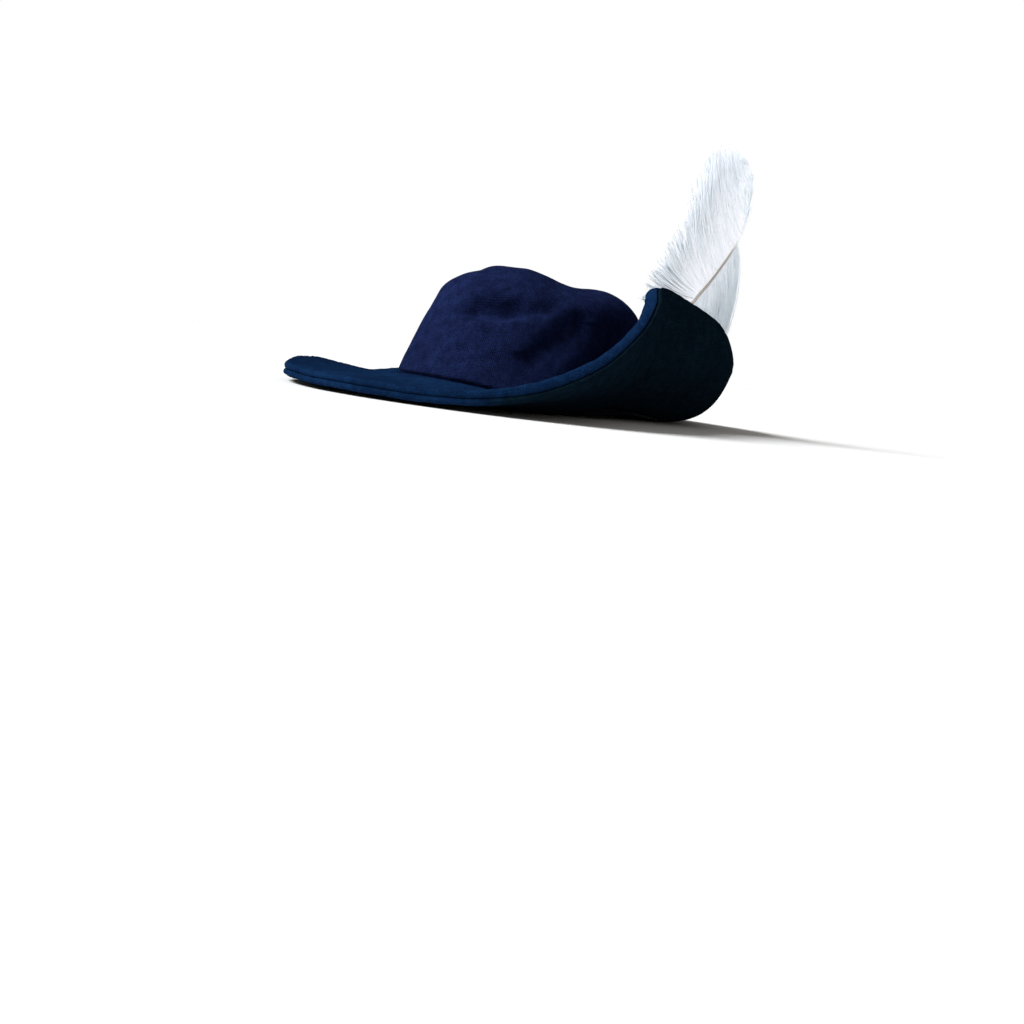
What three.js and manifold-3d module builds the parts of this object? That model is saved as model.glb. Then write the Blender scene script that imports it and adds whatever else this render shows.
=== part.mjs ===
// A cavalier hat in navy cloth: a soft dented crown, a padded two-layer brim turned up on the
// wearer's left, and a white ostrich plume tucked behind the turned-up side.
// Millimetres, +Z up. The hat faces -Y, the wearer's left is +X, and it lies on Z = 0.
import * as THREE from "three";
import { mergeVertices } from "three/addons/utils/BufferGeometryUtils.js";
import Module from "manifold-3d";

// Driving dimensions
const HEM_HALF_LENGTH = 104; // outside of the crown at its hem, front and back of the axis
const HEM_HALF_BREADTH = 84;
const CROWN_HEIGHT = 97;
const CROWN_WALL = 2.2;
const CROWN_LEAN = new THREE.Vector3(6.5, 6.5, 0); // how far the top sits left and back of the hem
const LEAN_STARTS = 20; // the crown stands straight up to this height
const TOP_SLOPE = 0.07; // the top falls towards the back
const BRIM_LAYER = 4.2; // one padded cloth layer of the brim
const HEM_TILT = 0.05; // the hem lies flat in front and lifts towards the back at this slope
const HEM_FLAT_TO = -57; // as far back as the hem lies flat
const HEM_LEFT_LIFT = 3; // the turned-up brim draws the hem up on the wearer's left
const HEM_LIFT_STARTS = 40;
const ROLL_REACH = 10; // the rim's padded roll fades this far in from the rim
const SEAM_GAP = 0.3;
const QUILL_ROOT_RADIUS = 1.5;
const QUILL_TIP_RADIUS = 0.5;
const VANE_THICKNESS = 3;

// Mesh density
const SECTORS = 60;
const CROWN_OUTER_ROWS = 22;
const CROWN_INNER_ROWS = 13;
const BRIM_STEPS = 7;
const EDGE_STEPS = 3;

// Level sections of the crown: share of its height, and spread as a share of the hem's size
const CROWN_SECTIONS = [
  { up: 0, spread: 1 },
  { up: 0.16, spread: 0.945 },
  { up: 0.3, spread: 0.905 },
  { up: 0.48, spread: 0.856 },
  { up: 0.64, spread: 0.808 },
  { up: 0.76, spread: 0.762 },
  { up: 0.85, spread: 0.68 },
  { up: 0.91, spread: 0.56 },
  { up: 0.96, spread: 0.39 },
  { up: 0.99, spread: 0.19 },
  { up: 1, spread: 0 },
];

// Folds in the crown's side: a line from one bearing and height to another, with its depth.
// Bearings are in degrees from the front towards the wearer's left.
const CROWN_FOLDS = [
  { name: "front_crease", fromDeg: -12, fromUp: 61, toDeg: 48, toUp: 64, depth: 5, halfWidth: 8 },
  { name: "side_fold", fromDeg: 64, fromUp: 66, toDeg: 42, toUp: 34, depth: 5, halfWidth: 10 },
  { name: "right_dent", fromDeg: -120, fromUp: 60, toDeg: -70, toUp: 66, depth: 4, halfWidth: 10 },
  { name: "back_dent", fromDeg: 150, fromUp: 45, toDeg: 185, toUp: 58, depth: 3, halfWidth: 12 },
];

// Hollows in the crown's top, each a line between two places seen from above
const TOP_HOLLOWS = [
  { name: "cross_hollow", fromX: 57, fromY: -22, toX: -22, toY: 54, depth: 7.5, reach: 17 },
  { name: "front_slope", fromX: -58, fromY: -22, toX: -22, toY: -58, depth: 3.5, reach: 13 },
  { name: "right_hollow", fromX: -30, fromY: -10, toX: -34, toY: 30, depth: 3, reach: 16 },
];

// Brim sections round the hat: height of its seam at the crown, where the rim lies, out from the axis
// and up from the floor, how far the cloth between crown and rim bows outwards, and how much thicker
// the upper layer is padded along the rim
const BRIM_SECTIONS = [
  { deg: -180, root: 11.5, out: 173, up: 8, bow: 1, roll: 0 },
  { deg: -150, root: 12, out: 176, up: 6.5, bow: 0, roll: 0 },
  { deg: -120, root: 12, out: 177, up: 8.5, bow: 0, roll: 0 },
  { deg: -98, root: 12, out: 177, up: 9, bow: 0, roll: 0 },
  { deg: -87, root: 10.5, out: 176, up: 6, bow: 1, roll: 0 },
  { deg: -76, root: 11.5, out: 175, up: 10, bow: 4, roll: 0 },
  { deg: -62, root: 12, out: 173, up: 13, bow: 5, roll: 0 },
  { deg: -40, root: 12, out: 170, up: 9.3, bow: 4, roll: 0 },
  { deg: -15, root: 12.5, out: 173, up: 8, bow: 2.5, roll: 0 },
  { deg: 5, root: 12.5, out: 175, up: 7.2, bow: 1.5, roll: 0 },
  { deg: 25, root: 10.5, out: 175, up: 6.5, bow: 1, roll: 0 },
  { deg: 38, root: 8, out: 175, up: 9.5, bow: 1.5, roll: 1 },
  { deg: 50, root: 6.5, out: 172, up: 19, bow: 3, roll: 3 },
  { deg: 61, root: 7.5, out: 166, up: 36, bow: 7, roll: 4.5 },
  { deg: 71, root: 8.5, out: 152, up: 58, bow: 11, roll: 5 },
  { deg: 81, root: 9.5, out: 131, up: 77, bow: 14, roll: 5 },
  { deg: 92, root: 10, out: 110, up: 89.5, bow: 16, roll: 3.5 },
  { deg: 108, root: 9, out: 118, up: 84.5, bow: 17.5, roll: 0 },
  { deg: 124, root: 7, out: 132, up: 75, bow: 19, roll: 0 },
  { deg: 138, root: 6.5, out: 147, up: 61, bow: 19, roll: 0 },
  { deg: 150, root: 8, out: 160, up: 45, bow: 15.5, roll: 0 },
  { deg: 163, root: 10, out: 169, up: 24, bow: 8, roll: 0 },
];

// The quill's line, from the corner of crown and brim up past the turned-up rim to its tip
const QUILL_LINE = [
  { x: 83.5, y: 18, up: 20.4 },
  { x: 95.5, y: 32, up: 53 },
  { x: 107, y: 47.5, up: 87 },
  { x: 107, y: 70, up: 110 },
  { x: 104, y: 93, up: 137 },
  { x: 98, y: 106, up: 172 },
  { x: 93, y: 108, up: 197 },
];

// Locks of the plume: where they leave the quill as a share of its length, their bearing from the quill's
// own direction, their length, and how far their tips lift and tuck in towards the crown
const FRONT_LOCKS = [
  { at: 0.39, angle: 126, length: 48, lift: 4, tuck: 0 },
  { at: 0.52, angle: 86, length: 43, lift: 5, tuck: 0 },
  { at: 0.68, angle: 50, length: 49, lift: 4, tuck: 0 },
  { at: 0.86, angle: 34, length: 39, lift: 0, tuck: 0 },
  { at: 0.97, angle: 26, length: 19, lift: -2, tuck: 0 },
];
const BACK_LOCKS = [
  { at: 0.43, angle: -128, length: 34, lift: -2, tuck: 12 },
  { at: 0.54, angle: -136, length: 54, lift: -2, tuck: 16 },
  { at: 0.63, angle: -147, length: 68, lift: 0, tuck: 18 },
  { at: 0.71, angle: -155, length: 72, lift: 0, tuck: 15 },
];
const FRONT_LOCK_COUNT = 13;
const BACK_LOCK_COUNT = 6;
const LOCK_WIDTH = 17;
const LOCK_STATIONS = 4;

const wasm = await Module();
wasm.setup();

const toRadians = THREE.MathUtils.degToRad;
const lerp = THREE.MathUtils.lerp;
const smoothstep = THREE.MathUtils.smoothstep;

// Value of a table's column at a place, through a cubic with the rows' own slopes
function readTable(rows, key, column, at) {
  let i = 0;
  while (i < rows.length - 2 && at > rows[i + 1][key]) i++;
  const slope = (a, b) => (rows[b][column] - rows[a][column]) / (rows[b][key] - rows[a][key]);
  const here = slope(i, i + 1);
  const before = i > 0 ? (slope(i - 1, i) + here) / 2 : here;
  const after = i < rows.length - 2 ? (here + slope(i + 1, i + 2)) / 2 : here;
  const span = rows[i + 1][key] - rows[i][key];
  const t = (at - rows[i][key]) / span;
  const [t2, t3] = [t * t, t * t * t];
  return (
    (2 * t3 - 3 * t2 + 1) * rows[i][column] +
    (t3 - 2 * t2 + t) * span * before +
    (3 * t2 - 2 * t3) * rows[i + 1][column] +
    (t3 - t2) * span * after
  );
}

// The brim's table repeated before and after, so that it reads smoothly across the back
const TURN = 360;
const BRIM_ROUND = [-TURN, 0, TURN].flatMap((turn) => BRIM_SECTIONS.map((row) => ({ ...row, deg: row.deg + turn })));
const brim = (column, deg) => readTable(BRIM_ROUND, "deg", column, deg);

// Compass: a bearing from the front towards the wearer's left
const bearing = (deg) => new THREE.Vector3(Math.sin(toRadians(deg)), -Math.cos(toRadians(deg)), 0);
const hemRadius = (deg) => {
  const way = bearing(deg);
  return 1 / Math.hypot(way.x / HEM_HALF_BREADTH, way.y / HEM_HALF_LENGTH);
};
const crownRadius = (deg, up) => hemRadius(deg) * readTable(CROWN_SECTIONS, "up", "spread", up / CROWN_HEIGHT);

// A soft groove along a line: full depth on it, fading over its half width
function groove(from, to, here, depth, halfWidth) {
  const nearest = new THREE.Line3(from, to).closestPointToPoint(here, true, new THREE.Vector3());
  return depth * Math.exp(-((nearest.distanceTo(here) / halfWidth) ** 2));
}

// Depth of a side fold at a bearing and height
function foldDepth(fold, deg, up) {
  const reach = hemRadius(deg) * toRadians(1);
  const middle = (fold.fromDeg + fold.toDeg) / 2;
  const near = deg + TURN * Math.round((middle - deg) / TURN);
  const from = new THREE.Vector3(fold.fromDeg * reach, fold.fromUp, 0);
  const to = new THREE.Vector3(fold.toDeg * reach, fold.toUp, 0);
  return groove(from, to, new THREE.Vector3(near * reach, up, 0), fold.depth, fold.halfWidth);
}

// Depth of a top hollow at a place seen from above
function hollowDepth(hollow, point) {
  const from = new THREE.Vector3(hollow.fromX, hollow.fromY, 0);
  const to = new THREE.Vector3(hollow.toX, hollow.toY, 0);
  return groove(from, to, new THREE.Vector3(point.x, point.y, 0), hollow.depth, hollow.reach);
}

// Height of the hem: flat in front, rising to the back, and drawn up on the wearer's left
function hemUp(deg) {
  const hem = bearing(deg).multiplyScalar(hemRadius(deg));
  const leftwards = smoothstep(hem.x, HEM_LIFT_STARTS, HEM_HALF_BREADTH);
  return HEM_TILT * Math.max(hem.y - HEM_FLAT_TO, 0) + HEM_LEFT_LIFT * leftwards;
}

// A point of the crown's outside: share runs from the hem, 0, to the middle of the top, 1
const CROWN_PROFILE = new THREE.SplineCurve(
  CROWN_SECTIONS.map((row) => new THREE.Vector2(row.spread * HEM_HALF_BREADTH, row.up * CROWN_HEIGHT)),
);
function crownPoint(deg, share) {
  const profile = CROWN_PROFILE.getPointAt(share);
  const up = Math.max(profile.y, 0);
  const spread = Math.max(profile.x, 0) / HEM_HALF_BREADTH;
  const rise = smoothstep(up, LEAN_STARTS, CROWN_HEIGHT);
  const inwards = CROWN_FOLDS.reduce((sum, fold) => sum + foldDepth(fold, deg, up), 0) * smoothstep(spread, 0.2, 0.6);
  const point = bearing(deg).multiplyScalar(hemRadius(deg) * spread - inwards);
  const dip = TOP_HOLLOWS.reduce((sum, hollow) => sum + hollowDepth(hollow, point), 0);
  point.z = up - (dip + TOP_SLOPE * point.y) * rise;
  point.z = Math.max(point.z, hemUp(deg) + share);
  return point.addScaledVector(CROWN_LEAN, rise);
}

// The crown's inside, a wall's thickness in from the outside
function crownInside(deg, share) {
  const step = 0.004;
  const along = crownPoint(deg, Math.min(share + step, 1)).sub(crownPoint(deg, Math.max(share - step, 0)));
  const across = crownPoint(deg + 1, Math.min(share, 1 - step)).sub(crownPoint(deg - 1, Math.min(share, 1 - step)));
  const out = share > 1 - step ? new THREE.Vector3(0, 0, 1) : across.cross(along).normalize();
  const point = crownPoint(deg, share).addScaledVector(out, -CROWN_WALL);
  if (share === 0) point.z = crownPoint(deg, 0).z;
  return point;
}

// A closed skin over rings of points: each ring has the same count, and the rings either close on
// themselves or end on a single point or a flat cap
function skin(rings, closed, flipped = false) {
  const count = rings[0].length;
  const position = rings.flat().flatMap((point) => point.toArray());
  const index = [];
  const quads = closed ? rings.length : rings.length - 1;
  for (let i = 0; i < quads; i++) {
    for (let j = 0; j < count; j++) {
      const [a, b] = [i * count + j, i * count + ((j + 1) % count)];
      const [c, d] = [a, b].map((k) => (k + count) % (rings.length * count));
      index.push(...(flipped ? [a, d, b, a, c, d] : [a, b, d, a, d, c]));
    }
  }
  if (!closed) {
    const last = (rings.length - 1) * count;
    for (let j = 1; j < count - 1; j++) index.push(0, j + 1, j, last, last + j, last + j + 1);
  }
  const geometry = new THREE.BufferGeometry();
  geometry.setAttribute("position", new THREE.Float32BufferAttribute(position, 3));
  geometry.setIndex(index);
  return withoutSlivers(mergeVertices(geometry, 1e-3));
}

// Triangles that merging has closed to a line are dropped
function withoutSlivers(geometry) {
  const corners = geometry.index.array;
  const kept = [];
  for (let i = 0; i < corners.length; i += 3) {
    const [a, b, c] = corners.slice(i, i + 3);
    if (a !== b && b !== c && c !== a) kept.push(a, b, c);
  }
  geometry.setIndex(kept);
  return geometry;
}

const sectorDegrees = Array.from({ length: SECTORS }, (_, i) => (i * TURN) / SECTORS - TURN / 2);
const shares = (rows) => Array.from({ length: rows + 1 }, (_, i) => i / rows);

function crownGeometry() {
  const inside = shares(CROWN_INNER_ROWS).reverse();
  const outside = shares(CROWN_OUTER_ROWS);
  const rings = [
    ...inside.map((share) => sectorDegrees.map((deg) => crownInside(deg, share))),
    ...outside.map((share) => sectorDegrees.map((deg) => crownPoint(deg, share))),
  ];
  return skin(rings, false);
}

// The seam between the brim's layers at one bearing, as out and up, from the crown to the rim
function brimLine(deg) {
  const rootUp = brim("root", deg);
  const root = new THREE.Vector2(crownRadius(deg, rootUp) + SEAM_GAP, rootUp);
  const rim = new THREE.Vector2(brim("out", deg), brim("up", deg));
  const chord = rim.clone().sub(root).normalize();
  const outwards = new THREE.Vector2(chord.y, -chord.x);
  const middle = root.clone().add(rim).multiplyScalar(0.5);
  const pull = middle.addScaledVector(outwards, 2 * brim("bow", deg));
  return new THREE.QuadraticBezierCurve(root, pull, rim);
}

// One layer's section: along its face from the crown, round the rim, and back along the seam.
// side is 1 for the upper layer and -1 for the under layer.
function brimSection(deg, side) {
  const line = brimLine(deg);
  const normalAt = (t) => {
    const along = line.getTangent(t);
    return new THREE.Vector2(-along.y, along.x).multiplyScalar(side);
  };
  const length = line.getLength();
  const roll = side > 0 ? brim("roll", deg) : 0;
  const fullHeight = (t) => BRIM_LAYER + roll * Math.exp(-((((1 - t) * length) / ROLL_REACH) ** 2));
  const edgeStart = 1 - BRIM_LAYER / length;
  const offset = (t, height) => line.getPoint(t).addScaledVector(normalAt(t), height);
  const section = [];
  for (let i = 0; i <= BRIM_STEPS; i++) {
    const t = (edgeStart * i) / BRIM_STEPS;
    section.push(offset(t, fullHeight(t)));
  }
  for (let i = 1; i <= EDGE_STEPS; i++) {
    const turn = (i / EDGE_STEPS) * (Math.PI / 2);
    const t = lerp(edgeStart, 1, Math.sin(turn));
    section.push(offset(t, lerp(SEAM_GAP / 2, fullHeight(t), Math.cos(turn))));
  }
  for (let i = BRIM_STEPS - 1; i >= 0; i--) section.push(offset((edgeStart * i) / BRIM_STEPS, SEAM_GAP / 2));
  return section.map((point) => {
    const up = Math.max(point.y, 0);
    const out = Math.max(point.x, crownRadius(deg, up) + SEAM_GAP);
    return bearing(deg).multiplyScalar(out).setZ(up);
  });
}

function brimGeometry(side) {
  const rings = sectorDegrees.map((deg) => brimSection(deg, side));
  return skin(rings, true, side < 0);
}

// The feather lies in an upright plane that faces the wearer's left and a little forwards
const quillCurve = new THREE.CatmullRomCurve3(QUILL_LINE.map((row) => new THREE.Vector3(row.x, row.y, row.up)));
const FEATHER_NORMAL = new THREE.Vector3(0.94, -0.34, 0).normalize();

function tube(points, radii, sides) {
  const rings = points.map((point, i) => {
    const ahead = points[Math.min(i + 1, points.length - 1)];
    const behind = points[Math.max(i - 1, 0)];
    const along = ahead.clone().sub(behind).normalize();
    const across = along.clone().cross(FEATHER_NORMAL).normalize();
    const normal = across.clone().cross(along);
    return Array.from({ length: sides }, (_, j) => {
      const turn = (j / sides) * 2 * Math.PI;
      const [wide, thick] = radii[i];
      return point
        .clone()
        .addScaledVector(across, wide * Math.cos(turn))
        .addScaledVector(normal, thick * Math.sin(turn));
    });
  });
  return skin(rings.reverse(), false);
}

function quillGeometry() {
  const steps = 16;
  const points = quillCurve.getSpacedPoints(steps);
  const radii = points.map((_, i) => {
    const radius = lerp(QUILL_ROOT_RADIUS, QUILL_TIP_RADIUS, i / steps);
    return [radius, radius];
  });
  return tube(points, radii, 8);
}

function solidOf(geometry) {
  return new wasm.Manifold(
    new wasm.Mesh({
      numProp: 3,
      vertProperties: new Float32Array(geometry.attributes.position.array),
      triVerts: new Uint32Array(geometry.index.array),
    }),
  );
}

function geometryOf(solid) {
  const mesh = solid.getMesh();
  const geometry = new THREE.BufferGeometry();
  geometry.setAttribute("position", new THREE.BufferAttribute(mesh.vertProperties, 3));
  geometry.setIndex(new THREE.BufferAttribute(mesh.triVerts, 1));
  return geometry;
}

// Centre plane of the plume, behind the quill and clear of it
const VANE_OFFSET = -(QUILL_ROOT_RADIUS + SEAM_GAP + VANE_THICKNESS / 2);
const vaneNormal = (share) => FEATHER_NORMAL.clone().projectOnPlane(quillCurve.getTangentAt(share)).normalize();
const vanePoint = (share) => quillCurve.getPointAt(share).addScaledVector(vaneNormal(share), VANE_OFFSET);

function lockGeometry(rows, step) {
  const share = lerp(rows[0].at, rows.at(-1).at, step);
  const columns = ["angle", "length", "lift", "tuck"];
  const [angle, length, lift, tuck] = columns.map((column) => readTable(rows, "at", column, share));
  const way = quillCurve.getTangentAt(share).applyAxisAngle(vaneNormal(share), toRadians(angle));
  const start = vanePoint(share).addScaledVector(way, -2);
  const points = shares(LOCK_STATIONS).map((t) =>
    start
      .clone()
      .addScaledVector(way, length * t)
      .addScaledVector(FEATHER_NORMAL, -tuck * t)
      .add(new THREE.Vector3(0, 0, lift * t * t)),
  );
  const radii = shares(LOCK_STATIONS).map((t) => {
    const full = 0.6 + 0.9 * t - 1.2 * t ** 2;
    return [(LOCK_WIDTH / 2) * full, (VANE_THICKNESS / 2) * (1 - 0.7 * t)];
  });
  return tube(points, radii, 6);
}

function plumeGeometry() {
  const backing = shares(10).map((t) => vanePoint(lerp(FRONT_LOCKS[0].at - 0.02, FRONT_LOCKS.at(-1).at, t)));
  const radii = backing.map(() => [3, VANE_THICKNESS / 2]);
  let plume = solidOf(tube(backing, radii, 6));
  for (const step of shares(FRONT_LOCK_COUNT - 1)) plume = plume.add(solidOf(lockGeometry(FRONT_LOCKS, step)));
  for (const step of shares(BACK_LOCK_COUNT - 1)) plume = plume.add(solidOf(lockGeometry(BACK_LOCKS, step)));
  return geometryOf(plume);
}

const cloth = (color) => new THREE.MeshStandardMaterial({ color, roughness: 0.95, metalness: 0 });
const navy = cloth(0x1c2a55);
const shadedNavy = cloth(0x0d1626);
const white = cloth(0xe8ecf0);
const horn = new THREE.MeshStandardMaterial({ color: 0xb9ab9a, roughness: 0.5, metalness: 0 });

const hat = new THREE.Group();
function addPart(name, geometry, material) {
  const mesh = new THREE.Mesh(geometry, material);
  mesh.name = name;
  hat.add(mesh);
}
addPart("crown", crownGeometry(), navy);
addPart("brim_upper", brimGeometry(1), navy);
addPart("brim_under", brimGeometry(-1), shadedNavy);
addPart("feather_quill", quillGeometry(), horn);
addPart("feather_plume", plumeGeometry(), white);

// The origin stands on the floor in the middle of the footprint
const footprint = new THREE.Box3().setFromObject(hat).getCenter(new THREE.Vector3());
for (const mesh of hat.children) mesh.position.set(-footprint.x, -footprint.y, 0);

export default hat;
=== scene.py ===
import math
import random

import bmesh
import bpy
from mathutils import Matrix, Vector, noise


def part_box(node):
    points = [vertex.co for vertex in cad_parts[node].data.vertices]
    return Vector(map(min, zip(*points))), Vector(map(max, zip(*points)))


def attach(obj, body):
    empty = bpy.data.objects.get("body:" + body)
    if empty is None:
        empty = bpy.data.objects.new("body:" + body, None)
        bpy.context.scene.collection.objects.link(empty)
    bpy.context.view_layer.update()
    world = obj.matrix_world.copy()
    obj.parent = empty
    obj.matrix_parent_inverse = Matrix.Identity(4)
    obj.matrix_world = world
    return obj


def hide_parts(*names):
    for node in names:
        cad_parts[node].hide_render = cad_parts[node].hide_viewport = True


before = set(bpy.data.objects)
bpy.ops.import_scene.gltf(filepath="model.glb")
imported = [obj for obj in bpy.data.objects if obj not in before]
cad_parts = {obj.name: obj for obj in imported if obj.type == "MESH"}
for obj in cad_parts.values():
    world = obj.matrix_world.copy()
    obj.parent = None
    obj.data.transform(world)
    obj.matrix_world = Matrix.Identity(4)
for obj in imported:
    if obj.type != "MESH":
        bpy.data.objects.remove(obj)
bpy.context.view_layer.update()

# Crown
# A soft hollow shell of brushed navy cotton, sewn to the brim round the head opening and dented by hand:
# a pinch crease runs across the front, a fold slants down the wearer's left and the top sinks behind.
MM = 0.001
crown_low, crown_high = (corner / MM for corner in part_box("crown"))
HAT_AXIS = Vector(((crown_low.x + crown_high.x) / 2, (crown_low.y + crown_high.y) / 2, 0))
HEM_HALF_BREADTH = (crown_high.x - crown_low.x) / 2
HEM_HALF_LENGTH = (crown_high.y - crown_low.y) / 2
CROWN_HEIGHT = 97
CROWN_WALL = 2.2
CROWN_LEAN = Vector((6.5, 6.5, 0))
LEAN_STARTS = 20
TOP_SLOPE = 0.07
HEM_TILT = 0.05
HEM_FLAT_TO = -57
HEM_LEFT_LIFT = 3  # the turned-up brim draws the hem up on the wearer's left
HEM_LIFT_STARTS = 40
CROWN_SECTORS = 220
ROWS_PER_SECTION = 14
BRIM_LAYER = 4.2
ROOT_PINCH = 2  # the brim's padding thins where its layers are sewn to the crown
SEAM_PINCH = 3.4  # and the crown draws in just above them
SEAM_PINCH_REACH = 1.7
SEAM_SHADE_REACH = 1  # below the brim's seam the crown is painted dark as shade, fading in over this far to either side of it
FOLDS_FADE = (0.2, 0.6)  # the side folds fade between these spreads, towards the middle of the top
CROWN_SWELLS = [{"size": 26, "height": 1.3}, {"size": 9, "height": 0.3}]
CROWN_SWELLS_FROM = (18, 40)  # heights between which the cloth becomes uneven
SIDEWAYS_TO = 40  # up to this height the wall swells straight out, and above it upwards too

# Level sections: share of the height, and spread as a share of the hem's size
CROWN_SECTIONS = [
    {"up": 0, "spread": 1},
    {"up": 0.16, "spread": 0.945},
    {"up": 0.3, "spread": 0.905},
    {"up": 0.48, "spread": 0.856},
    {"up": 0.64, "spread": 0.808},
    {"up": 0.76, "spread": 0.762},
    {"up": 0.85, "spread": 0.68},
    {"up": 0.91, "spread": 0.56},
    {"up": 0.96, "spread": 0.39},
    {"up": 0.99, "spread": 0.19},
    {"up": 1, "spread": 0},
]

# Side folds: lines from one bearing and height to another. A bearing runs from the front towards the
# wearer's left. Each fold fades over "above" on its upper side and over "below" on its lower side.
CROWN_FOLDS = [
    {"from_deg": 13, "from_up": 55.4, "to_deg": 31, "to_up": 57.6, "depth": 9, "above": 9.5, "below": 2.2},
    {"from_deg": 38, "from_up": 61.5, "to_deg": 49, "to_up": 66, "depth": 1.8, "above": 6, "below": 2.5},
    {"from_deg": 68, "from_up": 64, "to_deg": 48, "to_up": 37, "depth": 4.8, "above": 8, "below": 11},
    {"from_deg": -120, "from_up": 60, "to_deg": -70, "to_up": 66, "depth": 4, "above": 10, "below": 7},
    {"from_deg": 150, "from_up": 45, "to_deg": 185, "to_up": 58, "depth": 3, "above": 12, "below": 9},
    {"from_deg": 12, "from_up": 24, "to_deg": 26, "to_up": 48, "depth": 0.9, "above": 7, "below": 7},
    {"from_deg": -46, "from_up": 24, "to_deg": -36, "to_up": 60, "depth": 2.8, "above": 16, "below": 16},
    {"from_deg": 84, "from_up": 28, "to_deg": 104, "to_up": 62, "depth": 2.2, "above": 9, "below": 9},
    {"from_deg": 205, "from_up": 26, "to_deg": 222, "to_up": 60, "depth": 1.6, "above": 10, "below": 8},
]

# Top hollows, and one swelling: lines between two places seen from above
TOP_HOLLOWS = [
    {"from": Vector((52, -28.5)), "to": Vector((-28.5, 48.5)), "depth": 6.3, "reach": 21},
    {"from": Vector((-58, -22)), "to": Vector((-22, -58)), "depth": 2.5, "reach": 13},
    {"from": Vector((-30, -10)), "to": Vector((-34, 30)), "depth": 3, "reach": 16},
    {"from": Vector((-17, -40)), "to": Vector((-52, -5)), "depth": -1.8, "reach": 10},
]

# The brim sewn to it, round the hat: height of its seam at the crown, where the rim lies, how far the
# cloth between bows outwards, and how much thicker the upper layer is padded along the rim
BRIM_SECTIONS = [
    {"deg": -180, "root": 11.5, "out": 173, "up": 8, "bow": 1, "roll": 0},
    {"deg": -150, "root": 12, "out": 176, "up": 6.5, "bow": 0, "roll": 0},
    {"deg": -120, "root": 12, "out": 177, "up": 8.5, "bow": 0, "roll": 0},
    {"deg": -98, "root": 12, "out": 177, "up": 10, "bow": 0, "roll": 0},
    {"deg": -87, "root": 10.5, "out": 176, "up": 6, "bow": 1, "roll": 0},
    {"deg": -76, "root": 11.5, "out": 175, "up": 9.5, "bow": 3.5, "roll": 0},
    {"deg": -62, "root": 12, "out": 173, "up": 12, "bow": 4.5, "roll": 0.8},
    {"deg": -40, "root": 12, "out": 170, "up": 9.3, "bow": 4, "roll": 1.5},
    {"deg": -15, "root": 12.5, "out": 173, "up": 8, "bow": 2.5, "roll": 0},
    {"deg": 5, "root": 12.5, "out": 175, "up": 7.2, "bow": 1.5, "roll": 0},
    {"deg": 25, "root": 10.5, "out": 175, "up": 6.5, "bow": 1, "roll": 0},
    {"deg": 38, "root": 8, "out": 175, "up": 9.5, "bow": 1.5, "roll": 1},
    {"deg": 50, "root": 6.5, "out": 172, "up": 19, "bow": 3, "roll": 3},
    {"deg": 61, "root": 7.5, "out": 166, "up": 36, "bow": 7, "roll": 4.5},
    {"deg": 71, "root": 8.5, "out": 152, "up": 58, "bow": 11, "roll": 6},
    {"deg": 81, "root": 9.5, "out": 131, "up": 77, "bow": 14, "roll": 7.5},
    {"deg": 92, "root": 10, "out": 110, "up": 89.5, "bow": 16, "roll": 5.2},
    {"deg": 108, "root": 9, "out": 116, "up": 84.5, "bow": 17.5, "roll": 1},
    {"deg": 124, "root": 7, "out": 130, "up": 75, "bow": 21, "roll": 0},
    {"deg": 138, "root": 6.5, "out": 145, "up": 61, "bow": 22.5, "roll": 0},
    {"deg": 150, "root": 8, "out": 160, "up": 45, "bow": 18.5, "roll": 0},
    {"deg": 163, "root": 10, "out": 169, "up": 24, "bow": 9.5, "roll": 0},
]
BRIM_ROUND = [dict(row, deg=row["deg"] + turn) for turn in (-360, 0, 360) for row in BRIM_SECTIONS]


def read_table(rows, key, column, at):
    """Value of a column at a place between rows, on a cubic with the rows' own slopes."""
    last = len(rows) - 2
    i = 0
    while i < last and at > rows[i + 1][key]:
        i += 1

    def slope(k):
        return (rows[k + 1][column] - rows[k][column]) / (rows[k + 1][key] - rows[k][key])

    here = slope(i)
    start_slope = (slope(i - 1) + here) / 2 if i > 0 else here
    end_slope = (here + slope(i + 1)) / 2 if i < last else here
    span = rows[i + 1][key] - rows[i][key]
    t = (at - rows[i][key]) / span
    rise = t * t * (3 - 2 * t)
    value = rows[i][column] + (rows[i + 1][column] - rows[i][column]) * rise
    return value + span * t * (1 - t) * (start_slope * (1 - t) - end_slope * t)


def through_rows(rows, columns, t):
    """Point on a smooth curve through the rows, with t counted in rows."""
    i = min(int(t), len(rows) - 2)
    t -= i
    near = [rows[min(max(k, 0), len(rows) - 1)] for k in (i - 1, i, i + 1, i + 2)]
    point = []
    for column in columns:
        a, b, c, d = (row[column] for row in near)
        leave, arrive = (c - a) / 2, (d - b) / 2
        rise = t * t * (3 - 2 * t)
        point.append(b + (c - b) * rise + t * (1 - t) * (leave * (1 - t) - arrive * t))
    return point


def smoothstep(value, low, high):
    share = min(max((value - low) / (high - low), 0), 1)
    return share * share * (3 - 2 * share)


def bearing(deg):
    return Vector((math.sin(math.radians(deg)), -math.cos(math.radians(deg)), 0))


def hem_radius(deg):
    way = bearing(deg)
    return 1 / math.hypot(way.x / HEM_HALF_BREADTH, way.y / HEM_HALF_LENGTH)


def away_from_line(start, end, here):
    along = end - start
    share = min(max((here - start).dot(along) / along.length_squared, 0), 1)
    return here - start - along * share


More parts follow.
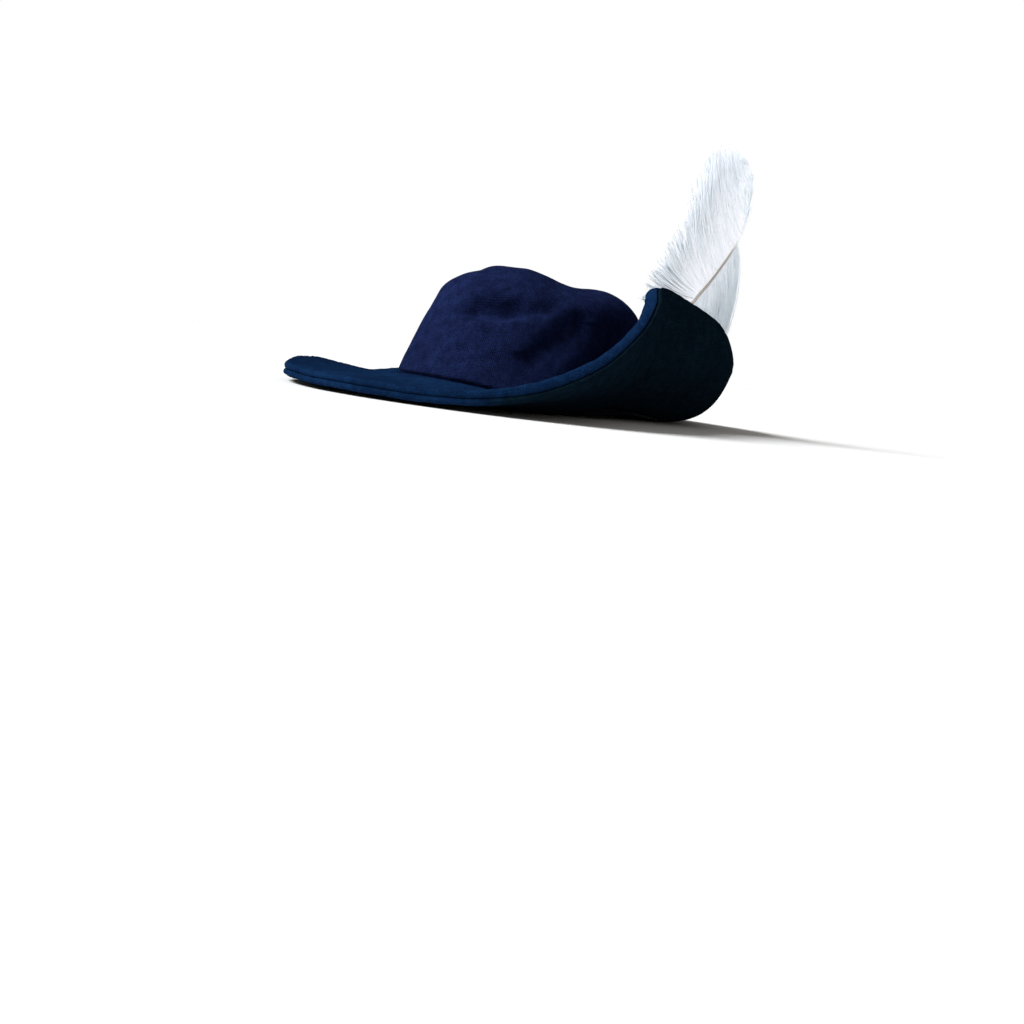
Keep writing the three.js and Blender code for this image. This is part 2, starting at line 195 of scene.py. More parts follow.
def fold_depth(fold, deg, up):
    reach = hem_radius(deg) * math.radians(1)
    middle = (fold["from_deg"] + fold["to_deg"]) / 2
    near_deg = deg + 360 * round((middle - deg) / 360)
    start = Vector((fold["from_deg"] * reach, fold["from_up"]))
    end = Vector((fold["to_deg"] * reach, fold["to_up"]))
    away = away_from_line(start, end, Vector((near_deg * reach, up)))
    width = fold["above"] if away.y > 0 else fold["below"]
    return fold["depth"] * math.exp(-((away.length / width) ** 2))


def hollow_depth(hollow, point):
    away = away_from_line(hollow["from"], hollow["to"], point.xy)
    return hollow["depth"] * math.exp(-((away.length / hollow["reach"]) ** 2))


def cloth_swell(point, size, height):
    """Gentle unevenness of hand-shaped cloth: lumps of one size, in millimetres."""
    return height * noise.noise(point / size)


def crown_point(deg, row):
    spread, share = through_rows(CROWN_SECTIONS, ("spread", "up"), row)
    up = max(share * CROWN_HEIGHT, 0)
    rise = smoothstep(up, LEAN_STARTS, CROWN_HEIGHT)
    inwards = sum(fold_depth(fold, deg, up) for fold in CROWN_FOLDS) * smoothstep(spread, *FOLDS_FADE)
    above_seam = up - read_table(BRIM_ROUND, "deg", "root", deg) - (BRIM_LAYER - ROOT_PINCH)
    inwards += SEAM_PINCH * math.exp(-((above_seam / SEAM_PINCH_REACH) ** 2))
    point = bearing(deg) * (hem_radius(deg) * max(spread, 0) - inwards)
    dip = sum(hollow_depth(hollow, point) for hollow in TOP_HOLLOWS)
    point.z = up - (dip + TOP_SLOPE * point.y) * rise
    swell = sum(cloth_swell(point, **lumps) for lumps in CROWN_SWELLS)
    outwards = Vector((point.x, point.y, max(point.z - SIDEWAYS_TO, 0)))
    point += outwards.normalized() * swell * smoothstep(up, *CROWN_SWELLS_FROM)
    hem = bearing(deg) * hem_radius(deg)
    hem_up = HEM_TILT * max(hem.y - HEM_FLAT_TO, 0)
    hem_up += HEM_LEFT_LIFT * smoothstep(hem.x, HEM_LIFT_STARTS, HEM_HALF_BREADTH)
    lowest = hem_up + row / len(CROWN_SECTIONS)  # each row stays above the one before
    point.z = max(point.z, lowest)
    return point + CROWN_LEAN * rise


def mesh_piece(name, points, faces, flat_places, painted_shade_depths, way_round=0):
    """Piece from points in the hat's millimetres, with its flat cutting pattern as a UV map in metres and,
    for each point, how much painted shade darkens it. A pattern that closes on itself repeats after
    way_round."""
    mesh = bpy.data.meshes.new(name)
    mesh.from_pydata([(HAT_AXIS + point) * MM for point in points], [], faces)
    cut = mesh.uv_layers.new(name="cut")
    for face in mesh.polygons:
        furthest = max(flat_places[corner].x for corner in face.vertices)
        for loop, corner in zip(face.loop_indices, face.vertices):
            place = flat_places[corner].copy()
            if furthest - place.x > way_round / 2 > 0:
                place.x += way_round
            cut.data[loop].uv = place * MM
    painted_shade = mesh.attributes.new("painted_shade", "FLOAT", "POINT")
    for i, depth in enumerate(painted_shade_depths):
        painted_shade.data[i].value = depth
    mesh.shade_smooth()
    piece = bpy.data.objects.new(name, mesh)
    bpy.context.scene.collection.objects.link(piece)
    return piece


crown_rows = (len(CROWN_SECTIONS) - 1) * ROWS_PER_SECTION
crown_points = []
crown_flat = []
crown_painted_shade = []
for row in range(crown_rows):
    for sector in range(CROWN_SECTORS):
        deg = sector * 360 / CROWN_SECTORS
        point = crown_point(deg, row / ROWS_PER_SECTION)
        crown_points.append(point)
        # Painted shade: the crown is painted dark below the brim's seam, where the brim shades it
        brim_root = read_table(BRIM_ROUND, "deg", "root", deg)
        painted_shade = 1 - smoothstep(point.z, brim_root - SEAM_SHADE_REACH, brim_root + SEAM_SHADE_REACH)
        crown_painted_shade.append(painted_shade)
        slope_length = point.z + (hem_radius(deg) - point.xy.length)
        crown_flat.append(Vector((math.radians(deg) * HEM_HALF_BREADTH, slope_length)))
crown_points.append(crown_point(0, crown_rows / ROWS_PER_SECTION))
crown_flat.append(Vector((0, CROWN_HEIGHT + HEM_HALF_BREADTH)))
crown_painted_shade.append(0)
crown_faces = []
for row in range(crown_rows):
    for sector in range(CROWN_SECTORS):
        here = row * CROWN_SECTORS + sector
        beside = row * CROWN_SECTORS + (sector + 1) % CROWN_SECTORS
        if row < crown_rows - 1:
            crown_faces.append((here, beside, beside + CROWN_SECTORS, here + CROWN_SECTORS))
        else:
            crown_faces.append((here, beside, len(crown_points) - 1))
hem_round = math.tau * HEM_HALF_BREADTH
crown = mesh_piece("crown_cloth", crown_points, crown_faces, crown_flat, crown_painted_shade, hem_round)
crown_wall = crown.modifiers.new("wall", "SOLIDIFY")
crown_wall.thickness = CROWN_WALL * MM
crown_wall.offset = -1  # inwards
walled = crown.evaluated_get(bpy.context.evaluated_depsgraph_get())
crown_shell = bpy.data.meshes.new_from_object(walled)
crown.modifiers.clear()
crown.data = crown_shell
for corner in crown_shell.vertices:
    corner.co.z = max(corner.co.z, 0)


def linear(hex_colour):
    """Linear colour of an sRGB hex value."""
    channels = [int(hex_colour[i : i + 2], 16) / 255 for i in (1, 3, 5)]
    return [c / 12.92 if c <= 0.04045 else ((c + 0.055) / 1.055) ** 2.4 for c in channels] + [1]


def add_node(tree, kind, inputs=None, **settings):
    """Add a node with its settings; an input is a value, or the output that feeds it."""
    node = tree.nodes.new(kind)
    for name, value in settings.items():
        setattr(node, name, value)
    for socket, value in (inputs or {}).items():
        if isinstance(value, bpy.types.NodeSocket):
            tree.links.new(value, node.inputs[socket])
        else:
            node.inputs[socket].default_value = value
    return node


# Brushed cotton: a plain weave whose threads show through a short raised nap. The nap scatters light, so
# the cloth is dull, slightly mottled, and pales a little where it turns away.
# Real threads are about 0.5 mm apart; they are drawn wider so that the weave shows.
THREAD_SPACING = 1.3
WAVE_RADIANS = 20  # how far a wave texture turns in one unit, at scale 1
NAP_GRAIN = 0.8
NAP_RELIEF = 1.4  # height of the nap, as a share of the threads'
RELIEF_HEIGHT = 0.4
MOTTLE_SIZE = 6
FADE_SIZE = 45
FADE_WEIGHT = 0.15
MOTTLE_WEIGHT = 0.3
NAP_WEIGHT = 0.55
DEEP_TONE = 0.42
MIDDLE_TONE = 0.5
PALE_TONE = 0.58
# Painted shade: where shade is painted into a cloth, its colour is multiplied towards this dark tint
PAINTED_SHADE_TINT = "#D6BA8C"
SHEEN_BLUE = "#7F93C4"


def brushed_cotton(name, deep, middle, pale):
    material = bpy.data.materials.new(name)
    material.use_nodes = True
    tree = material.node_tree
    tree.nodes.clear()
    cut = add_node(tree, "ShaderNodeUVMap", uv_map="cut").outputs["UV"]
    place = add_node(tree, "ShaderNodeTexCoord").outputs["Object"]
    thread_scale = math.tau / WAVE_RADIANS / (THREAD_SPACING * MM)
    threads = {"Vector": cut, "Scale": thread_scale, "Distortion": 0.8, "Detail": 1.0, "Detail Scale": 0.3}
    warp = add_node(tree, "ShaderNodeTexWave", threads, bands_direction="X").outputs["Fac"]
    weft = add_node(tree, "ShaderNodeTexWave", threads, bands_direction="Y").outputs["Fac"]
    weave = add_node(tree, "ShaderNodeMath", {0: warp, 1: weft}, operation="MULTIPLY").outputs["Value"]
    grain = {"Vector": place, "Scale": 1 / (NAP_GRAIN * MM), "Detail": 3.0, "Roughness": 0.7}
    nap = add_node(tree, "ShaderNodeTexNoise", grain).outputs["Fac"]
    relief = add_node(
        tree, "ShaderNodeMath", {0: nap, 1: NAP_RELIEF, 2: weave}, operation="MULTIPLY_ADD"
    ).outputs["Value"]
    bump = add_node(
        tree, "ShaderNodeBump", {"Height": relief, "Strength": 1.0, "Distance": RELIEF_HEIGHT * MM}
    )
    blotches = {"Vector": place, "Scale": 1 / (MOTTLE_SIZE * MM), "Detail": 4.0, "Roughness": 0.6}
    mottle = add_node(tree, "ShaderNodeTexNoise", blotches).outputs["Fac"]
    fading = {"Vector": place, "Scale": 1 / (FADE_SIZE * MM), "Detail": 2.0}
    fade = add_node(tree, "ShaderNodeTexNoise", fading).outputs["Fac"]
    tone = add_node(
        tree, "ShaderNodeMath", {0: fade, 1: FADE_WEIGHT}, operation="MULTIPLY"
    ).outputs["Value"]
    for pattern, weight in ((mottle, MOTTLE_WEIGHT), (nap, NAP_WEIGHT)):
        tone = add_node(
            tree, "ShaderNodeMath", {0: pattern, 1: weight, 2: tone}, operation="MULTIPLY_ADD"
        ).outputs["Value"]
    shade = add_node(tree, "ShaderNodeValToRGB", {"Fac": tone})
    shade.color_ramp.elements[0].position = DEEP_TONE
    shade.color_ramp.elements[0].color = linear(deep)
    shade.color_ramp.elements[1].position = PALE_TONE
    shade.color_ramp.elements[1].color = linear(pale)
    shade.color_ramp.elements.new(MIDDLE_TONE).color = linear(middle)
    # Painted shade: a piece's attribute multiplies the cloth's colour towards the dark tint
    painted_shade = add_node(tree, "ShaderNodeAttribute", attribute_name="painted_shade").outputs["Fac"]
    # A colour mix has its factor at socket 0, its colours at 6 and 7, and its result at 2
    colour = add_node(
        tree,
        "ShaderNodeMix",
        {0: painted_shade, 6: shade.outputs["Color"], 7: linear(PAINTED_SHADE_TINT)},
        data_type="RGBA",
        blend_type="MULTIPLY",
    ).outputs[2]
    surface = add_node(
        tree,
        "ShaderNodeBsdfPrincipled",
        {
            "Base Color": colour,
            "Roughness": 0.95,
            "IOR": 1.45,
            "Specular IOR Level": 0.0,
            "Sheen Weight": 0.015,
            "Sheen Roughness": 0.5,
            "Sheen Tint": linear(SHEEN_BLUE),
            "Normal": bump.outputs["Normal"],
        },
    )
    add_node(tree, "ShaderNodeOutputMaterial", {"Surface": surface.outputs["BSDF"]})
    return material


crown.data.materials.append(brushed_cotton("crown_brushed_cotton", "#101735", "#172044", "#1F2B55"))
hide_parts("crown")
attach(crown, "root")

# Brim
# Two padded layers of the same cotton, cut as flat rings and sewn together along the rim, so the edge is
# a soft roll on either side of a sunk seam. The wearer's left is turned up against the plume.
ROLL_REACH = 10  # the rim's padded roll fades this far in from the rim
SEAM_GAP = 0.3
BRIM_SECTORS = 300
BRIM_STEPS = 26
EDGE_STEPS = 12
EDGE_REACH = 2.2  # how far each layer's edge bulges out past its stitching
SEAM_SUNK = 1.4  # how deep the stitching lies between the two bulges
ROOT_PINCH_REACH = 5
ROLL_BULGE = 0.25  # how far the rim's padded roll bulges past the stitching, as a share of its thickness
RIM_TO_HEM = 2  # the rim is about this many times as long as the hem
PUCKER_DEPTH = 0.7  # gathers along the rim's seam
PUCKER_SPACING = 6
PUCKER_LENGTH = 30
PUCKER_REACH = 9
TOPSTITCH_IN = 6.5  # a row of stitching this far in from the rim
TOPSTITCH_DEPTH = 0.4
TOPSTITCH_REACH = 1.1
RIM_SHADE_FADE = 6  # painted shade darkens the under layer but fades out this far from the rim, except where the brim is turned up
TURNED_UP_FROM = (34, 44)
TURNED_UP_TO = (165, 178)
BRIM_SWELL = {"size": 34, "height": 0.8}
BRIM_SWELL_FROM = (8, 30)  # distances from the crown between which the cloth becomes uneven
LINE_STEPS = 40
BRIM_NAVY = ("#091B36", "#0D2445", "#133056")


def crown_radius(deg, up):
    return hem_radius(deg) * read_table(CROWN_SECTIONS, "up", "spread", up / CROWN_HEIGHT)


class BrimLine:
    """The seam between the layers at one bearing, in millimetres out and up, from the crown to the rim."""

    def __init__(self, deg):
        columns = ("root", "out", "up", "bow")
        root, out, up, bow = (read_table(BRIM_ROUND, "deg", column, deg) for column in columns)
        self.start = Vector((crown_radius(deg, root) + SEAM_GAP, root))
        self.end = Vector((out, up))
        chord = (self.end - self.start).normalized()
        self.pull = (self.start + self.end) / 2 + Vector((chord.y, -chord.x)) * 2 * bow
        steps = [self.point(i / LINE_STEPS) for i in range(LINE_STEPS + 1)]
        self.length = sum((b - a).length for a, b in zip(steps, steps[1:]))

    def point(self, t):
        return self.start * (1 - t) ** 2 + self.pull * 2 * t * (1 - t) + self.end * t * t

    def offset(self, t, height):
        along = ((self.pull - self.start) * (1 - t) + (self.end - self.pull) * t).normalized()
        return self.point(t) + Vector((-along.y, along.x)) * height


def layer_height(deg, side, from_root, from_rim):
    """How thick one padded layer is, by its distance from the crown and from the rim."""
    height = BRIM_LAYER - ROOT_PINCH * math.exp(-((from_root / ROOT_PINCH_REACH) ** 2))
    if side > 0:
        height += read_table(BRIM_ROUND, "deg", "roll", deg) * math.exp(-((from_rim / ROLL_REACH) ** 2))
    around = math.radians(deg) * hem_radius(deg) * RIM_TO_HEM
    gather = noise.noise(Vector((around / PUCKER_SPACING, from_rim / PUCKER_LENGTH, 0)))
    height += PUCKER_DEPTH * gather * math.exp(-((from_rim / PUCKER_REACH) ** 2))
    stitched = (from_rim - TOPSTITCH_IN) / TOPSTITCH_REACH
    return height - TOPSTITCH_DEPTH * math.exp(-(stitched**2))


def brim_section(deg, side):
    """One layer's section from the crown, along its face, round the rim and back along the seam."""
    line = BrimLine(deg)
    edge_start = 1 - EDGE_REACH / line.length
    bulge = EDGE_REACH
    if side > 0:
        bulge += ROLL_BULGE * read_table(BRIM_ROUND, "deg", "roll", deg)
    section = []
    for i in range(BRIM_STEPS + 1):
        t = edge_start * i / BRIM_STEPS
        height = layer_height(deg, side, t * line.length, (1 - t) * line.length)
        section.append((line.offset(t, side * height), t * line.length))
    for i in range(1, EDGE_STEPS + 1):
        turn = i / EDGE_STEPS * math.pi
        reach = bulge * math.sin(turn)
        if turn > math.pi / 2:
            reach = bulge - SEAM_SUNK * (1 - math.sin(turn))
        t = edge_start + reach / line.length
        full = layer_height(deg, side, t * line.length, (1 - t) * line.length)
        middle = (full + SEAM_GAP / 2) / 2
        height = middle + (full - middle) * math.cos(turn)
        section.append((line.offset(t, side * height), line.length + EDGE_REACH * turn))
    for i in range(BRIM_STEPS - 1, -1, -1):
        t = edge_start * i / BRIM_STEPS
        section.append((line.offset(t, side * SEAM_GAP / 2), t * line.length))
    points = []
    for place, from_root in section:
        up = max(place.y, 0)
        out = max(place.x, crown_radius(deg, up) + SEAM_GAP)
        point = bearing(deg) * out + Vector((0, 0, up))
        swell = cloth_swell(point, **BRIM_SWELL) * smoothstep(from_root, *BRIM_SWELL_FROM)
        point.z = max(point.z + swell, 0)
        flat = bearing(deg).xy * (line.start.x + from_root)
        # Painted shade: the under layer is painted dark as if in the brim's shadow, except along the rim,
        # and all over where the brim is turned up
        painted_shade = 0
        if side < 0:
            turned_up = smoothstep(deg, *TURNED_UP_FROM) - smoothstep(deg, *TURNED_UP_TO)
            painted_shade = max(smoothstep(line.length - from_root, 0, RIM_SHADE_FADE), turned_up)
        points.append((point, flat, painted_shade))
    return points


def brim_layer(name, side):
    sections = [brim_section(i * 360 / BRIM_SECTORS, side) for i in range(BRIM_SECTORS)]
    count = len(sections[0])
    points, flats, painted_shades = zip(*(place for section in sections for place in section))
    faces = []
    for i in range(BRIM_SECTORS):
        for j in range(count):
            a, b = i * count + j, i * count + (j + 1) % count
            c, d = ((k + count) % len(points) for k in (a, b))
            faces.append((a, b, d, c) if side > 0 else (a, c, d, b))
    return mesh_piece(name, points, faces, flats, painted_shades)


brim_upper = brim_layer("brim_upper_cloth", 1)
brim_upper.data.materials.append(brushed_cotton("brim_brushed_cotton", *BRIM_NAVY))
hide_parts("brim_upper")
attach(brim_upper, "root")

brim_under = brim_layer("brim_under_cloth", -1)
brim_under.data.materials.append(brushed_cotton("brim_underside_cotton", *BRIM_NAVY))
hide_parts("brim_under")
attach(brim_under, "root")

# Quill
# The plume's shaft: a horn-like tube, thick and beige where it is tucked into the corner of crown and
# brim, and thinning to a white hair at its tip. It leans on the inside of the turned-up rim.
QUILL_ROOT_RADIUS = 1.5
QUILL_TIP_RADIUS = 0.3
QUILL_TAPER = 0.8  # below 1 the shaft thins faster near its root
QUILL_GROOVE = 0.25  # depth of the groove down its back, as a share of its radius
GROOVE_SHARPNESS = 4
QUILL_STEPS = 90
SHAFT_ENDS = 0.95  # past this share of its length the shaft is as thin as a barb
QUILL_SIDES = 14
PATH_STEPS = 100
SHARE_STEP = 0.01  # how far to either side the shaft's direction is measured
QUILL_LINE = [
    {"x": 83.5, "y": 18, "up": 20.4},
    {"x": 95.5, "y": 32, "up": 53},
    {"x": 107, "y": 47.5, "up": 87},
    {"x": 107, "y": 70, "up": 110},
    {"x": 104, "y": 93, "up": 137},
    {"x": 98, "y": 106, "up": 172},
    {"x": 93, "y": 108, "up": 197},
]
PLUME_FACES = Vector((0.94, -0.34, 0)).normalized()

quill_path = []
for i in range(PATH_STEPS + 1):
    row = i / PATH_STEPS * (len(QUILL_LINE) - 1)
    quill_path.append(Vector(through_rows(QUILL_LINE, ("x", "y", "up"), row)))
quill_reach = [0.0]
for before, after in zip(quill_path, quill_path[1:]):
    quill_reach.append(quill_reach[-1] + (after - before).length)
QUILL_LENGTH = quill_reach[-1]


def quill_point(share):
    """Point on the quill at a share of its length."""
    target = min(max(share, 0), 1) * QUILL_LENGTH
    i = max(k for k in range(PATH_STEPS) if quill_reach[k] <= target)
    part = (target - quill_reach[i]) / (quill_reach[i + 1] - quill_reach[i])
    return quill_path[i].lerp(quill_path[i + 1], part)


def quill_frame(share):
    """Direction of the quill, the plume's normal there, and the direction across the plume to the front."""
    along = (quill_point(share + SHARE_STEP) - quill_point(share - SHARE_STEP)).normalized()
    normal = (PLUME_FACES - along * PLUME_FACES.dot(along)).normalized()
    return along, normal, normal.cross(along)


quill_points = []
quill_flat = []
for i in range(QUILL_STEPS + 1):
    share = i / QUILL_STEPS * SHAFT_ENDS
    along, normal, across = quill_frame(share)
    radius = QUILL_ROOT_RADIUS + (QUILL_TIP_RADIUS - QUILL_ROOT_RADIUS) * share**QUILL_TAPER
    for j in range(QUILL_SIDES):
        turn = j / QUILL_SIDES * math.tau
        groove = 1 - QUILL_GROOVE * max(-math.sin(turn), 0) ** GROOVE_SHARPNESS
        ring = across * math.cos(turn) + normal * math.sin(turn) * groove
        quill_points.append(quill_point(share) + ring * radius)
        quill_flat.append(Vector((j / QUILL_SIDES / MM, share / MM)))
quill_faces = []
for i in range(QUILL_STEPS):
    for j in range(QUILL_SIDES):
        a, b = i * QUILL_SIDES + j, i * QUILL_SIDES + (j + 1) % QUILL_SIDES
        quill_faces.append((a, b, b + QUILL_SIDES, a + QUILL_SIDES))
quill_faces.append(tuple(reversed(range(QUILL_SIDES))))
quill_faces.append(tuple(range(QUILL_STEPS * QUILL_SIDES, (QUILL_STEPS + 1) * QUILL_SIDES)))
# The shaft has no painted shade
unshaded = [0] * len(quill_points)
quill = mesh_piece("feather_shaft", quill_points, quill_faces, quill_flat, unshaded, 1 / MM)
quill_shell = bmesh.new()
quill_shell.from_mesh(quill.data)
bmesh.ops.recalc_face_normals(quill_shell, faces=quill_shell.faces)
quill_shell.to_mesh(quill.data)
quill_shell.free()

# Keratin: smooth and faintly glossy, with fine streaks, and beige until it pales near the tip
STREAKS_ROUND = 14
STREAKS_ALONG = 40
STREAK_WEIGHT = 0.22
HORN_ROOT = {"at": 0.1, "colour": "#837B70"}
HORN_MIDDLE = {"at": 0.7, "colour": "#6F6A64"}
HORN_TIP = {"at": 0.95, "colour": "#EDEEEE"}

keratin = bpy.data.materials.new("quill_keratin")
keratin.use_nodes = True
tree = keratin.node_tree
tree.nodes.clear()
quill_uv = add_node(tree, "ShaderNodeUVMap", uv_map="cut").outputs["UV"]
quill_share = add_node(tree, "ShaderNodeSeparateXYZ", {"Vector": quill_uv}).outputs["Y"]
streak_place = add_node(
    tree, "ShaderNodeMapping", {"Vector": quill_uv, "Scale": (STREAKS_ROUND, STREAKS_ALONG, 1)}
).outputs["Vector"]
streaks = add_node(
    tree, "ShaderNodeTexNoise", {"Vector": streak_place, "Scale": 1.0, "Detail": 3.0}
).outputs["Fac"]
paling = add_node(
    tree, "ShaderNodeMath", {0: streaks, 1: STREAK_WEIGHT, 2: quill_share}, operation="MULTIPLY_ADD"
)
horn = add_node(tree, "ShaderNodeValToRGB", {"Fac": paling.outputs["Value"]})
horn.color_ramp.elements[0].position = HORN_ROOT["at"]
horn.color_ramp.elements[0].color = linear(HORN_ROOT["colour"])
horn.color_ramp.elements[1].position = HORN_TIP["at"]
horn.color_ramp.elements[1].color = linear(HORN_TIP["colour"])
horn.color_ramp.elements.new(HORN_MIDDLE["at"]).color = linear(HORN_MIDDLE["colour"])
keratin_surface = add_node(
    tree,
    "ShaderNodeBsdfPrincipled",
    {"Base Color": horn.outputs["Color"], "Roughness": 0.42, "IOR": 1.55, "Coat Weight": 0.1},
)
add_node(tree, "ShaderNodeOutputMaterial", {"Surface": keratin_surface.outputs["BSDF"]})
quill.data.materials.append(keratin)
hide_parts("feather_quill")
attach(quill, "root")

# Plume
# White ostrich barbs that grow from both sides of the shaft. In front they sweep up and cling in locks;
# behind they hang down inside the brim, and near the tip they run up beside the shaft.
BARB_POINTS = 12
BARB_WIDTH = 0.85
BARB_THICKNESS = 0.16
BARB_TAPERS_FROM = 0.1  # share of its length
BARB_TIP = 0.12  # width at the tip, as a share of the barb's own
BARBULE_LENGTH = 3.2
BARBULE_WIDTH = 0.25
BARBULE_TIP = 0.1
BARBULE_SCALES = (0.55, 1.15)
BARBULE_ANGLE = math.radians(24)  # from the barb, to either side
BARBULE_SWAY = Vector((0.4, 0.2, 0.2))  # most that a barbule turns about each axis, in radians
BARBULES_PER_BARB = 44
LOCK_GATHER = 11  # degrees that the barbs at a lock's sides turn towards its middle
LOCK_POINT = 0.5  # how much shorter they are there, and how sharply
LOCK_POINT_POWER = 1.5
ROOTS_BEHIND = -0.6  # low down the barbs grow from the back of the shaft, so that it shows
ROOTS_BEFORE = 0.6
SHAFT_HIDES = (0.62, 0.7)
# Painted shade that greys each barb towards its tip
TIP_PAINTED_SHADE = 0.3
PLUME_SEED = 11

# Unevenness from barb to barb, in degrees, millimetres or shares
TURN_SPREAD = 2
LEAVE_SPREAD = 2.5
LENGTH_SPREAD = (0.86, 1.05)
LEAN_SPREAD = 1
# Painted streaks of shade: each barb's grey varies at random by this much
PAINTED_SHADE_SPREAD = 0.14
ROOT_SPREAD = 0.3

# For a share of the barbs: where they leave the shaft as a share of its length, their bearing from it
# there, how far they turn along their length, their length, and how far their tips lean out from the hat
FRONT_BARBS = [
    {"share": 0, "at": 0.35, "leave": 134, "turn": -20, "length": 40, "lean": 2},
    {"share": 0.12, "at": 0.385, "leave": 120, "turn": -20, "length": 41, "lean": 2},
    {"share": 0.24, "at": 0.415, "leave": 103, "turn": -20, "length": 42, "lean": 2},
    {"share": 0.34, "at": 0.44, "leave": 86, "turn": -20, "length": 49, "lean": 3},
    {"share": 0.46, "at": 0.5, "leave": 74, "turn": -20, "length": 60, "lean": 3},
    {"share": 0.58, "at": 0.57, "leave": 69, "turn": -20, "length": 66, "lean": 3},
    {"share": 0.7, "at": 0.64, "leave": 62, "turn": -18, "length": 70, "lean": 2},
    {"share": 0.82, "at": 0.75, "leave": 44, "turn": -16, "length": 56, "lean": 1},
    {"share": 0.91, "at": 0.85, "leave": 33, "turn": -11, "length": 34, "lean": 0},
    {"share": 0.97, "at": 0.92, "leave": 36, "turn": -8, "length": 17, "lean": 0},
    {"share": 1, "at": 0.95, "leave": 40, "turn": -6, "length": 7, "lean": 0},
]
HANGING_BARBS = [
    {"share": 0, "at": 0.37, "leave": -108, "turn": -8, "length": 26, "lean": -8},
    {"share": 0.25, "at": 0.45, "leave": -111, "turn": -8, "length": 42, "lean": -12},
    {"share": 0.57, "at": 0.55, "leave": -114, "turn": -8, "length": 55, "lean": -18},
    {"share": 0.84, "at": 0.63, "leave": -129, "turn": -8, "length": 66, "lean": -22},
    {"share": 1, "at": 0.68, "leave": -140, "turn": -8, "length": 73, "lean": -23},
]
RISING_BARBS = [
    {"share": 0, "at": 0.64, "leave": 0, "turn": 24, "length": 38, "lean": 0},
    {"share": 0.5, "at": 0.78, "leave": 2, "turn": 14, "length": 27, "lean": 0},
    {"share": 1, "at": 0.9, "leave": -2, "turn": 10, "length": 8, "lean": 0},
]
# Each group's grey is painted shade; the hanging vane is painted greyest, as if in shadow
BARB_ROWS = [
    {"rows": FRONT_BARBS, "count": 640, "locks": 27, "shade": 0.12},
    {"rows": HANGING_BARBS, "count": 270, "locks": 11, "shade": 0.38},
    {"rows": RISING_BARBS, "count": 80, "locks": 5, "shade": 0.25},
]
BARB_COLUMNS = ("at", "leave", "turn", "length", "lean")
BARB_CLEARANCE = 1.8  # between the barbs and the brim, from this share of their length on
CLEAR_FROM = 0.15
BRIM_TOP = max(row["up"] for row in BRIM_SECTIONS) + BRIM_LAYER


def past_brim(point):
    """How far a point of a barb lies past the inner face of the turned-up brim."""
    deg = math.degrees(math.atan2(point.x, -point.y))
    line = BrimLine(deg)
    limit = None
    for i in range(BRIM_STEPS, -1, -1):
        t = i / BRIM_STEPS
        height = layer_height(deg, 1, t * line.length, (1 - t) * line.length)
        face = line.offset(t, height + BARB_CLEARANCE)
        if limit is None:
            limit = face.x + max(point.z - face.y, 0)
        if face.y <= point.z:
            break
        limit = face.x
    return point.xy.length - limit


shuffle = random.Random(PLUME_SEED)
barb_points = []
barb_edges = []
barb_normals = []
barb_painted_shades = []
for group in BARB_ROWS:
    for i in range(group["count"]):
        share = (i + shuffle.random()) / group["count"]
        values = (read_table(group["rows"], "share", column, share) for column in BARB_COLUMNS)
        at, leave, turn, length, lean = values
        lock = share * group["locks"] % 1 - 0.5
        turn += lock * LOCK_GATHER + shuffle.gauss(0, TURN_SPREAD)
        leave += shuffle.gauss(0, LEAVE_SPREAD)
        length *= (1 - LOCK_POINT * abs(lock) ** LOCK_POINT_POWER) * shuffle.uniform(*LENGTH_SPREAD)
        lean += shuffle.gauss(0, LEAN_SPREAD)
        shade = group["shade"] + shuffle.gauss(0, PAINTED_SHADE_SPREAD)
        along, normal, across = quill_frame(at)
        cover = ROOTS_BEHIND + (ROOTS_BEFORE - ROOTS_BEHIND) * smoothstep(at, *SHAFT_HIDES)
        point = quill_point(at) + normal * (cover + shuffle.uniform(-ROOT_SPREAD, ROOT_SPREAD))
        places = []
        drawn_in = 0  # how far the tip is drawn in so that the barb hangs inside the brim
        for k in range(BARB_POINTS):
            t = k / (BARB_POINTS - 1)
            place = point + normal * lean * t * t
            if t > CLEAR_FROM and place.z < BRIM_TOP:
                drawn_in = max(drawn_in, past_brim(place) / (t * (2 - t)))
            places.append(place)
            way = math.radians(leave + turn * t)
            point = point + (along * math.cos(way) + across * math.sin(way)) * length / (BARB_POINTS - 1)
        first = len(barb_points)
        inwards = -Vector((places[0].x, places[0].y, 0)).normalized()
        for k, place in enumerate(places):
            t = k / (BARB_POINTS - 1)
            barb_points.append((HAT_AXIS + place + inwards * drawn_in * t * (2 - t)) * MM)
            barb_normals.append(normal)
            barb_painted_shades.append(shade + TIP_PAINTED_SHADE * t)
        barb_edges += [(first + k, first + k + 1) for k in range(BARB_POINTS - 1)]

barb_guides = bpy.data.meshes.new("barb_guides")
barb_guides.from_pydata(barb_points, barb_edges, [])
vane_normal = barb_guides.attributes.new("vane_normal", "FLOAT_VECTOR", "POINT")
for i, normal in enumerate(barb_normals):
    vane_normal.data[i].vector = normal
# Painted shade for each point, read by the barb material
barb_painted_shade = barb_guides.attributes.new("shade", "FLOAT", "POINT")
for i, shade in enumerate(barb_painted_shades):
    barb_painted_shade.data[i].value = shade
plume_guides = bpy.data.objects.new("barb_guides", barb_guides)
bpy.context.scene.collection.objects.link(plume_guides)

# Ostrich barb: matt white keratin so thin that more than half of the light passes through it. Its grey is
# painted shade: greyer on the hanging barbs as if in shadow, in random streaks, and towards each tip.
BARB_PALE = "#FCFCFF"
BARB_SHADED_GREY = "#D4DEE4"
LIGHT_PASSES = 0.6

